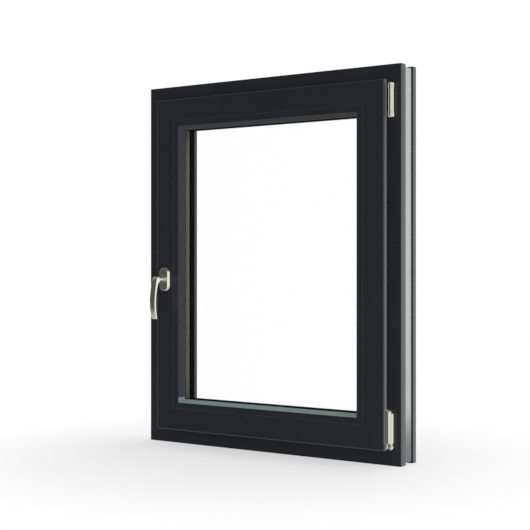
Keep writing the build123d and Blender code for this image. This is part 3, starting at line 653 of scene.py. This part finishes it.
def rose_shape(handle):
    """Oval rose cover with a narrow bright edge and a low collar round the neck."""
    x = (ROSE_LOW[0] + ROSE_HIGH[0]) / 2
    z = (ROSE_LOW[2] + ROSE_HIGH[2]) / 2
    across = ROSE_HIGH[0] - ROSE_LOW[0] - 2 * ROSE_TRIM
    tall = ROSE_HIGH[2] - ROSE_LOW[2] - 2 * ROSE_TRIM
    front, back = ROSE_LOW[1] + ROSE_FRONT_TRIM, ROSE_HIGH[1]
    edge = handle.rose_edge
    rings = []
    for y, inset in ((back, 0), (back - 0.2 * MM, 0), (front + edge, 0.25 * MM),
                     (front + edge * 0.55, 0.25 * MM + edge * 0.22),
                     (front + edge * 0.2, 0.3 * MM + edge * 0.6),
                     (front, 0.4 * MM + edge), (front, 0.9 * MM + edge)):
        rings.append(oval_ring(x, y, z, across - 2 * inset, tall - 2 * inset))
    cover = lofted(rings, cap_start=False)
    radius = handle.neck_radius
    collar = turned([(radius + COLLAR_WIDTH, front + 0.4 * MM), (radius + COLLAR_WIDTH, front - 0.1 * MM),
                     (radius + 1.7 * MM, front - 0.4 * MM), (radius + 0.25 * MM, front - 0.4 * MM)],
                    (x, 0, z), "Y")
    return combined(cover, collar)


def about_axis(points):
    """(x, y) points given in millimetres from the hinge axis."""
    return [(HINGE_X + x * MM, HINGE_Y + y * MM) for x, y in points]


def prism(section, levels):
    """Upright prism through levels of (z, inset from the section)."""
    centre = Vector((sum(p[0] for p in section), sum(p[1] for p in section))) / len(section)
    rings = []
    for z, inset in levels:
        ring = []
        for x, y in section:
            away = Vector((x, y)) - centre
            spot = centre + away * max(1 - inset / away.length, 0)
            ring.append(Vector((spot.x, spot.y, z)))
        rings.append(ring)
    return lofted(rings)


def bearing_section(radius, back=2.4):
    """D-shaped section: round towards the room, with short flat flanks."""
    points = [(-radius, back)]
    for step in range(25):
        turn = math.pi * (1 + step / 24)
        points.append((radius * math.cos(turn), radius * math.sin(turn)))
    points += [(radius, back)]
    return about_axis(points)


def stay_bearing_shape(metal):
    """Two ears with turned ends on webs, joined by a narrow back plate."""
    low, high = STAY_LOW[2] + metal.bearing_trim, STAY_HIGH[2] - metal.bearing_trim
    ear_low, ear_high = STAY_LOW[2] + EAR_LENGTH, STAY_HIGH[2] - EAR_LENGTH
    section = bearing_section(7.3)
    web = about_axis([(-5, 2), (0.6, 2), (0.6, 9), (-5, 9)])
    parts = []
    for z_from, z_to, sign in ((low, ear_low, 1), (high, ear_high, -1)):
        levels = [(z_from, 1.3 * MM), (z_from + sign * 0.5 * MM, 0.5 * MM), (z_from + sign * 1.4 * MM, 0),
                  (z_to - sign * 3.2 * MM, 0), (z_to - sign * 2.9 * MM, 0.5 * MM),
                  (z_to - sign * 2.3 * MM, 0.5 * MM), (z_to - sign * 2.0 * MM, 0), (z_to, 0)]
        parts.append(prism(section, sorted(levels)))
        parts.append(prism(web, sorted([(z_from + sign * 1.5 * MM, 0), (z_to, 0)])))
    plate = about_axis([(-7, 7.4), (0.6, 7.4), (0.6, 9), (-7, 9)])
    parts.append(prism(plate, [(low + 1 * MM, 0), (high - 1 * MM, 0)]))
    return combined(*parts)


def corner_plate_shape():
    """Flat proud plate whose right flank falls back to the barrel and curves in at the top."""
    bottom, top = COVER_BOTTOM, COVER_HIGH[2]
    near = (COVER_LOW[0] - HINGE_X) / MM
    face = (COVER_LOW[1] - HINGE_Y) / MM
    rings = []
    notch, reach = 10.0, 5.2
    for z, inset in ((bottom, 0.5), (bottom + 0.5 * MM, 0), (top - 9.5 * MM, 0), (top - 8 * MM, 0),
                     (top - 6 * MM, 0), (top - 4 * MM, 0), (top - 2.4 * MM, 0), (top - 1.2 * MM, 0),
                     (top - 0.5 * MM, 0), (top, 0.5)):
        rise = max(0.0, 1 - (top - z) / MM / notch)
        shift = reach * (1 - math.sqrt(max(0.0, 1 - rise * rise)))
        section = [(near + inset, -1), (near + inset, face + 1.2), (near + 0.35 + inset, face + 0.35 + inset),
                   (near + 1.2, face + inset), (-1.2 - shift, face + inset),
                   (-0.5 - shift, face + 0.5 + inset), (1.5 - shift, -5.4), (1.5 - shift, -1)]
        rings.append([Vector((x, y, z)) for x, y in about_axis(section)])
    return lofted(rings)


def corner_cover_shape():
    """Plate, barrel sleeve and the adjusting knob beside the pin."""
    bottom, top = COVER_BOTTOM, COVER_HIGH[2] - 8.5 * MM
    radius = SLEEVE_RADIUS
    centre = (HINGE_X, HINGE_Y, 0)
    sleeve = turned([(radius * 0.8, bottom), (radius * 0.93, bottom + 0.2 * MM), (radius, bottom + 0.8 * MM),
                     (radius, top - 1.6 * MM), (radius * 0.93, top - 0.7 * MM), (radius * 0.72, top),
                     (radius * 0.1, top + 0.2 * MM)], centre)
    knob_at = (HINGE_X - 8.2 * MM, HINGE_Y - 4.2 * MM, 0)
    knob = knob_shape(knob_at, KNOB_RADIUS, bottom - KNOB_DROP, bottom + 0.4 * MM)
    return combined(corner_plate_shape(), sleeve, knob)


def knob_shape(centre, radius, low, high):
    """Turned knob with a neck, a rounded end and a fine groove."""
    return turned([(radius * 0.2, low), (radius * 0.62, low + radius * 0.1),
                   (radius * 0.9, low + radius * 0.4), (radius, low + radius * 0.85),
                   (radius, low + 6.2 * MM), (radius * 0.9, low + 6.5 * MM),
                   (radius * 0.9, low + 7.1 * MM), (radius, low + 7.4 * MM), (radius, low + 9.4 * MM),
                   (radius * 0.72, low + 10.4 * MM), (radius * 0.7, high)], centre)


def corner_bearing_shape():
    """Cup under the pin's ball and the narrow plate that carries it on the frame."""
    cup = knob_shape((HINGE_X, HINGE_Y, 0), CUP_RADIUS, COVER_LOW[2] - 3.4 * MM, COVER_BOTTOM + 0.2 * MM)
    plate = prism(about_axis([(-5, 7.2), (-0.6, 7.2), (-0.6, 9), (-5, 9)]),
                  [(COVER_LOW[2] - 3 * MM, 0), (COVER_HIGH[2] - 10 * MM, 0)])
    web = prism(about_axis([(-2.4, 3.5), (-0.8, 3.5), (-0.8, 8), (-2.4, 8)]),
                [(COVER_LOW[2] - 1 * MM, 0), (COVER_LOW[2] + 10 * MM, 0)])
    return combined(cup, plate, web)


def screw_head(centre, direction, radius):
    """Low countersunk head with a cross recess, facing a direction."""
    rings = []
    steps = 32
    deep = 0.45 * radius
    for share, drop in ((1.0, 0.12), (0.96, 0.0), (0.62, 0.0), (0.55, -deep), (0.05, -deep * 1.1)):
        ring = []
        for step in range(steps):
            turn = 2 * math.pi * step / steps
            reach = radius * share
            if share < 0.9:
                reach *= 0.42 + 0.58 * abs(math.cos(2 * turn)) ** 3
            level = drop if drop < 0 else -drop * radius
            ring.append((reach * math.cos(turn), reach * math.sin(turn), level))
        rings.append([Vector(point) for point in ring])
    turn_to = Vector((0, 0, 1)).rotation_difference(Vector(direction)).to_matrix().to_4x4()
    place = Matrix.Translation(centre) @ turn_to
    return lofted([[place @ point for point in ring] for ring in rings], cap_start=False)


# Operators

class TILTTURN_OT_profiles(bpy.types.Operator):
    """Finish the frame, the sash and the beads and draw their mitre lines."""

    bl_idname = "tilt_turn.profiles"
    bl_label = "Profiles"

    def execute(self, context):
        foil = context.scene.window_settings.foil
        dress(FRAME_LENGTHS, foil_finish("frame_foil", foil, groove_and_painted_light=True))
        dress(SASH_LENGTHS + BEADS, foil_finish("sash_foil", foil))
        dress(["drain_caps"], plastic_finish("drain_cap", (0.012, 0.013, 0.015), (0.018, 0.019, 0.021)))
        add_mitre_lines(foil)
        return {"FINISHED"}


class TILTTURN_OT_glazing(bpy.types.Operator):
    """Finish the panes, spacers, edge seals, packers and gaskets."""

    bl_idname = "tilt_turn.glazing"
    bl_label = "Glazing"

    def execute(self, context):
        dress(PANES, glass_finish())
        dress(["spacer_room"], spacer_finish("spacer_room_painted_reflections", (0.0125, 0.012, 0.0115), painted_reflections=True))
        # Painted shade: the outdoor spacer is the same bar as the room side one, given a darker colour for
        # the shade it lies in
        dress(["spacer_outdoor"], spacer_finish("spacer_outdoor_painted_shade", (0.008, 0.008, 0.008)))
        sealant = plastic_finish("edge_sealant", (0.006, 0.006, 0.006), (0.012, 0.012, 0.012), 0.6)
        dress(["edge_seals"], sealant)
        dress(["glazing_packers"], plastic_finish("packer", (0.05, 0.12, 0.2), (0.07, 0.16, 0.26)))
        dress(GASKETS, rubber_finish())
        return {"FINISHED"}


class TILTTURN_OT_reinforcement(bpy.types.Operator):
    """Finish the steel inside the profiles."""

    bl_idname = "tilt_turn.reinforcement"
    bl_label = "Reinforcement"

    def execute(self, context):
        dress(STEELS, galvanised_finish())
        return {"FINISHED"}


class TILTTURN_OT_handle(bpy.types.Operator):
    """Build the lever and the rose, and finish what turns under them."""

    bl_idname = "tilt_turn.handle"
    bl_label = "Handle"

    def execute(self, context):
        settings = context.scene.window_settings
        handle, metal = settings.handle, settings.metal
        nickel = satin_metal("handle_nickel", metal.nickel, metal.nickel_roughness, (1, 1, 0.08))
        verts, faces = lever_shape(handle)
        lever = new_piece("lever", verts, faces, nickel, "handle", "nickel", 26.0)
        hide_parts("handle_lever")
        verts, faces = rose_shape(handle)
        rose = new_piece("rose_cover", verts, faces, nickel, "sash", "nickel", 20.0)
        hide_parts("handle_rose_cover")
        zinc = satin_metal("handle_zinc", metal.zinc, 0.4)
        dress(["handle_base", "handle_spindle", "spindle_follower", "handle_screws"], zinc)
        return {"FINISHED"}


class TILTTURN_OT_stay_hinge(bpy.types.Operator):
    """Build the top bearing, its pin and the knuckle's sleeve, and finish the stay arm and its slider."""

    bl_idname = "tilt_turn.stay_hinge"
    bl_label = "Top hinge"

    def execute(self, context):
        metal = context.scene.window_settings.metal
        nickel = satin_metal("hinge_nickel", metal.nickel, metal.nickel_roughness, (1, 1, 0.06))
        dress(["stay_arm"], strap_finish(metal))
        dress(["stay_slider"], nickel)
        knuckle = turned([(KNUCKLE_BORE, KNUCKLE_LOW), (KNUCKLE_RADIUS, KNUCKLE_LOW),
                          (KNUCKLE_RADIUS, KNUCKLE_HIGH), (KNUCKLE_BORE, KNUCKLE_HIGH)],
                         (HINGE_X, HINGE_Y, 0), steps=64)
        new_piece("knuckle_sleeve", *knuckle, nickel, "stay", "nickel", 16.0)
        bearing = new_piece("top_bearing", *stay_bearing_shape(metal), nickel, "frame", "nickel", 16.0)
        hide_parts("stay_bearing")
        low, high = STAY_LOW[2] + metal.bearing_trim, STAY_HIGH[2] - metal.bearing_trim
        radius = TOP_PIN_RADIUS
        pin = turned([(radius * 0.7, low - 0.3 * MM), (radius, low), (radius, high),
                      (radius * 0.7, high + 0.3 * MM)], (HINGE_X, HINGE_Y, 0))
        pin = new_piece("top_pin", *pin, nickel, "stay_pin", "nickel", 16.0)
        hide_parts("stay_hinge_pin")
        return {"FINISHED"}


class TILTTURN_OT_corner_hinge(bpy.types.Operator):
    """Build the bottom hinge's cover and cup, and finish the barrel and the pin."""

    bl_idname = "tilt_turn.corner_hinge"
    bl_label = "Bottom hinge"

    def execute(self, context):
        metal = context.scene.window_settings.metal
        nickel = satin_metal("corner_nickel", metal.nickel, metal.nickel_roughness, (1, 1, 0.06))
        dress(["sash_corner_hinge", "corner_pivot_pin"], nickel)
        cover = new_piece("corner_cover", *corner_cover_shape(), nickel, "sash", "nickel", 16.0)
        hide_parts("corner_hinge_cover")
        bearing = new_piece("corner_cup", *corner_bearing_shape(), nickel, "frame", "nickel", 16.0)
        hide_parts("corner_bearing")
        return {"FINISHED"}


class TILTTURN_OT_groove_hardware(bpy.types.Operator):
    """Finish the rods, faceplates, drives and keeps, and add the faceplate screws."""

    bl_idname = "tilt_turn.groove_hardware"
    bl_label = "Groove hardware"

    def execute(self, context):
        metal = context.scene.window_settings.metal
        zinc = satin_metal("groove_zinc", metal.zinc, 0.34, (0.3, 1, 0.3))
        dress(["rod_lock", "rod_head", "rod_sill", "faceplate_lock", "faceplate_sill", "guide_rail_head",
               "corner_drive_head", "corner_drive_sill", "gearbox_case"], zinc)
        dress(["locking_keeps", "tilt_keep", "keep_screws"], satin_metal("keep_zinc", metal.zinc, 0.42))
        self.add_faceplate_screws(zinc)
        return {"FINISHED"}

    def add_faceplate_screws(self, zinc):
        low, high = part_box("faceplate_lock")
        middle = (low[1] + high[1]) / 2
        places = [Vector((low[0], middle, low[2] + (high[2] - low[2]) * share)) for share in
                  (0.03, 0.36, 0.64, 0.97)]
        shapes = [screw_head(place - Vector((0.02 * MM, 0, 0)), (-1, 0, 0), 3.2 * MM) for place in places]
        verts, faces = combined(*shapes)
        new_piece("faceplate_screws_lock", verts, faces, zinc, "sash", "screw")


class TILTTURN_OT_studio(bpy.types.Operator):
    """Lay the floor, hang the lamps, set the surround and place the camera."""

    bl_idname = "tilt_turn.studio"
    bl_label = "Studio"

    def execute(self, context):
        studio = context.scene.window_settings.studio
        lay_floor(studio)
        light_surround(studio)
        hang_lamps(studio)
        place_camera(studio)
        context.scene.view_settings.view_transform = "Standard"
        return {"FINISHED"}


# Stage

def seen_rays(made):
    """Share that is 1 for rays from the camera, from gloss and through glass."""
    ray = made.node("ShaderNodeLightPath")
    seen = made.math("MAXIMUM", ray.outputs["Is Camera Ray"], ray.outputs["Is Glossy Ray"])
    return made.math("MAXIMUM", seen, ray.outputs["Is Transmission Ray"])


def lay_floor(studio):
    """Large pale floor that fades to white far from the window."""
    mesh = bpy.data.meshes.new("floor")
    corners = [(x * FLOOR_REACH, y * FLOOR_REACH, FLOOR_LEVEL)
               for x, y in ((-1, -1), (1, -1), (1, 1), (-1, 1))]
    mesh.from_pydata(corners, [], [(0, 1, 2, 3)])
    floor = bpy.data.objects.new("floor", mesh)
    bpy.context.scene.collection.objects.link(floor)
    made = Finish("floor_paper", Roughness=0.9, Specular_IOR_Level=0.1)
    cloud = made.noise(3.0, 3.0)
    made.colour(made.blend(cloud, scaled(studio.floor_colour, 0.995), scaled(studio.floor_colour, 1.005)))
    distance = made.node("ShaderNodeVectorMath", {0: made.place}, operation="LENGTH").outputs["Value"]
    lift = made.between(made.smooth(distance, FADE_FROM, FADE_TO), studio.floor_lift, 1.0)
    share = made.math("MULTIPLY", lift, seen_rays(made))
    glow = made.node("ShaderNodeEmission", {"Color": (1, 1, 1, 1), "Strength": 1.0})
    both = made.node("ShaderNodeMixShader", {0: share, 1: made.surface.outputs[0], 2: glow.outputs[0]})
    made.tree.links.new(both.outputs[0], made.output.inputs["Surface"])
    mesh.materials.append(made.material)
    floor.visible_glossy = False


class Surround(Finish):
    """The world's nodes, made in the same way as a finish."""

    def __init__(self, name):
        world = bpy.data.worlds.new(name)
        bpy.context.scene.world = world
        world.use_nodes = True
        self.tree = world.node_tree
        self.tree.nodes.clear()
        self.place = self.node("ShaderNodeTexCoord").outputs["Generated"]

    def gloss(self, studio):
        """What gloss shows: bright beside and behind, dark high behind, left behind and in the room."""
        axes = self.node("ShaderNodeSeparateXYZ", {0: self.place})
        behind = self.math("MAXIMUM", axes.outputs[1], 0.0)
        above = self.math("MAXIMUM", axes.outputs[2], 0.0)
        below = self.math("MINIMUM", axes.outputs[2], 0.0)
        left = self.math("MAXIMUM", self.math("SUBTRACT", -0.3, axes.outputs[0]), 0.0)
        light = studio.surround
        for factor, first, second in (
                (studio.surround_behind, behind, 1.0), (studio.surround_above, above, behind),
                (-0.5, above, 1.0), (0.8, below, behind), (0.4, below, 1.0), (-3.0, left, behind)):
            term = self.math("MULTIPLY", self.math("MULTIPLY", first, second), factor)
            light = self.math("ADD", light, term)
        light = self.math("MAXIMUM", light, studio.shade)
        height = self.math("ADD", self.math("MULTIPLY", above, 0.7), self.math("MULTIPLY", below, 2.2))
        spread = self.node("ShaderNodeCombineXYZ", {0: axes.outputs[0], 1: axes.outputs[1], 2: height})
        even = self.node("ShaderNodeVectorMath", {0: spread.outputs[0]}, operation="NORMALIZE")
        facing = self.node("ShaderNodeVectorMath", {0: even.outputs[0], 1: ROOM_DIRECTION},
                           operation="DOT_PRODUCT")
        room = self.smooth(facing.outputs["Value"], ROOM_EDGE, ROOM_HEART)
        return self.node("ShaderNodeMix", {0: room, 2: light, 3: studio.shade}, data_type="FLOAT").outputs[0]


def light_surround(studio):
    """White behind the window, an even light on it, and a dark room in front for the gloss."""
    made = Surround("studio_surround")
    ray = made.node("ShaderNodeLightPath")
    seen = made.math("MAXIMUM", ray.outputs["Is Camera Ray"], ray.outputs["Is Transmission Ray"])
    gloss = made.gloss(studio)
    lit = made.node("ShaderNodeMix", {0: ray.outputs["Is Glossy Ray"], 2: studio.ambient, 3: gloss},
                    data_type="FLOAT")
    strength = made.node("ShaderNodeMix", {0: seen, 2: lit.outputs[0], 3: 1.0}, data_type="FLOAT")
    glow = made.node("ShaderNodeBackground", {"Color": (1, 1, 1, 1), "Strength": strength.outputs[0]})
    made.node("ShaderNodeOutputWorld", {"Surface": glow.outputs[0]})


def hang_lamp(name, place, target, size, power):
    """Soft lamp that neither the camera nor the gloss sees."""
    data = bpy.data.lights.new(name, "AREA")
    data.shape = "RECTANGLE"
    data.size, data.size_y = size
    data.energy = power
    lamp = bpy.data.objects.new(name, data)
    bpy.context.scene.collection.objects.link(lamp)
    lamp.location = place
    lamp.rotation_euler = (Vector(target) - Vector(place)).to_track_quat("-Z", "Y").to_euler()
    lamp.visible_camera = False
    lamp.visible_glossy = False


def hang_lamps(studio):
    """A lamp above and behind the window, and one on its right."""
    middle = (0, 0, HEIGHT / 2)
    hang_lamp("key_lamp", (0.3, 1.6, 2.6), middle, (2.4, 1.6), studio.key_power)
    hang_lamp("side_lamp", (2.6, 0.9, 1.2), middle, (1.6, 2.0), studio.side_power)


def place_camera(studio):
    """Level camera with the upright edges kept parallel."""
    data = bpy.data.cameras.new("camera")
    data.sensor_width = SENSOR_WIDTH
    data.lens = studio.lens
    data.shift_y = studio.rise
    camera = bpy.data.objects.new("camera", data)
    bpy.context.scene.collection.objects.link(camera)
    camera.location = studio.camera_place
    camera.rotation_euler = (math.radians(90), 0, studio.camera_turn)
    bpy.context.scene.camera = camera


# Panel and registration

PIECES = (TILTTURN_OT_profiles, TILTTURN_OT_glazing, TILTTURN_OT_reinforcement, TILTTURN_OT_handle,
          TILTTURN_OT_stay_hinge, TILTTURN_OT_corner_hinge, TILTTURN_OT_groove_hardware,
          TILTTURN_OT_studio)


class TILTTURN_PT_panel(bpy.types.Panel):
    """Lists the window's settings and pieces."""

    bl_idname = "TILTTURN_PT_panel"
    bl_label = "Tilt-and-turn window"
    bl_space_type = "VIEW_3D"
    bl_region_type = "UI"
    bl_category = "Window"

    def draw(self, context):
        settings = context.scene.window_settings
        for group in (settings.foil, settings.metal, settings.handle, settings.studio):
            box = self.layout.box()
            for label in group.__annotations__:
                box.prop(group, label)
        for piece in PIECES:
            self.layout.operator(piece.bl_idname)


GROUPS = (FoilSettings, MetalSettings, HandleSettings, StudioSettings, WindowSettings)


def register():
    for item in (*GROUPS, *PIECES, TILTTURN_PT_panel):
        bpy.utils.register_class(item)
    bpy.types.Scene.window_settings = bpy.props.PointerProperty(type=WindowSettings)


def unregister():
    del bpy.types.Scene.window_settings
    for item in reversed((*GROUPS, *PIECES, TILTTURN_PT_panel)):
        bpy.utils.unregister_class(item)


def main():
    register()
    bpy.ops.tilt_turn.profiles()
    bpy.ops.tilt_turn.glazing()
    bpy.ops.tilt_turn.reinforcement()
    bpy.ops.tilt_turn.handle()
    bpy.ops.tilt_turn.stay_hinge()
    bpy.ops.tilt_turn.corner_hinge()
    bpy.ops.tilt_turn.groove_hardware()
    bpy.ops.tilt_turn.studio()


if __name__ == "__main__":
    main()
